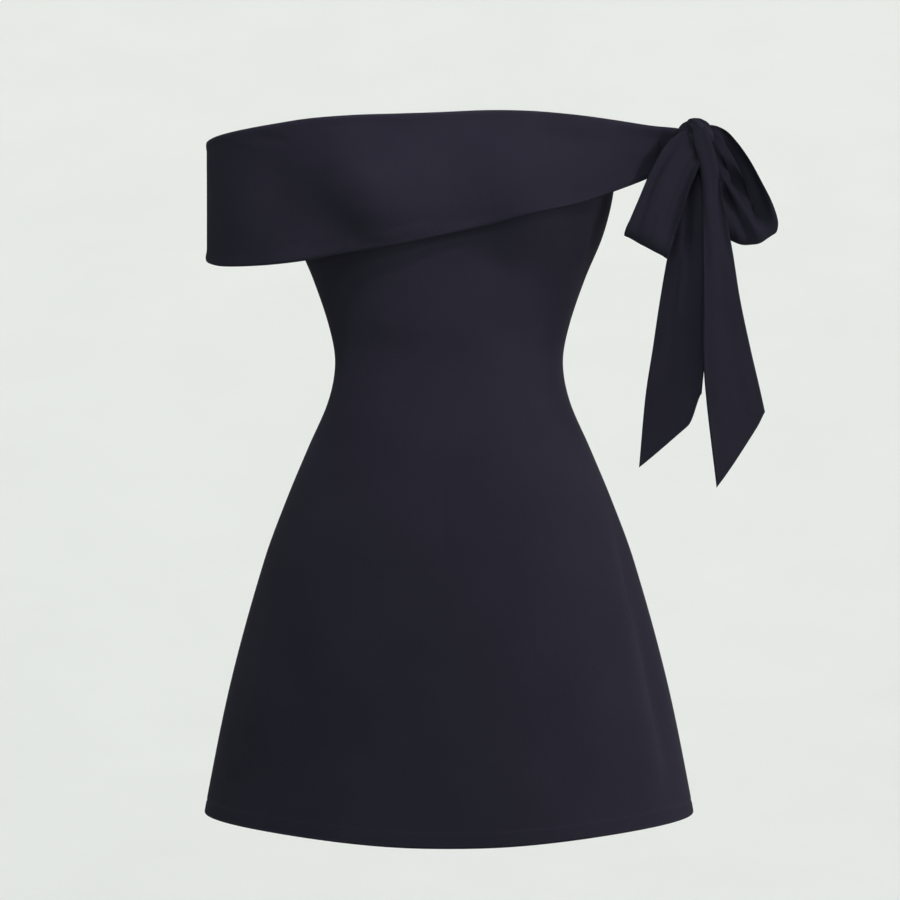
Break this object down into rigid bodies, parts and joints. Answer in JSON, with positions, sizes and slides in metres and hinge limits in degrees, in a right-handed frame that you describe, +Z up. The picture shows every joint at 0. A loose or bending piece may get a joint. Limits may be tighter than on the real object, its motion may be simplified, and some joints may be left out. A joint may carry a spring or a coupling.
{
  "type": "off-shoulder dress",
  "caption": "Short off-shoulder dress with a fitted waist, a flared skirt and a fold-over neck band that ties in a bow on the upper arm.",
  "frame": {"origin": "centre of the wearer's chest at the bust line, where the wearer's body holds the dress", "axes": "+Z up along the wearer, front towards -Y, +X towards the wearer's left arm and the bow"},
  "size_m": [0.6057, 0.3219, 0.7498],
  "materials": {
    "crepe": "matte"
  },
  "bodies": {
    "root": {"body_front": "crepe", "body_back": "crepe", "band_front": "crepe", "band_back": "crepe", "bow_knot": "crepe", "bow_loop_inner": "crepe", "bow_loop_outer": "crepe", "bow_tail_inner": "crepe", "bow_tail_outer": "crepe"}
  },
  "joints": []
}
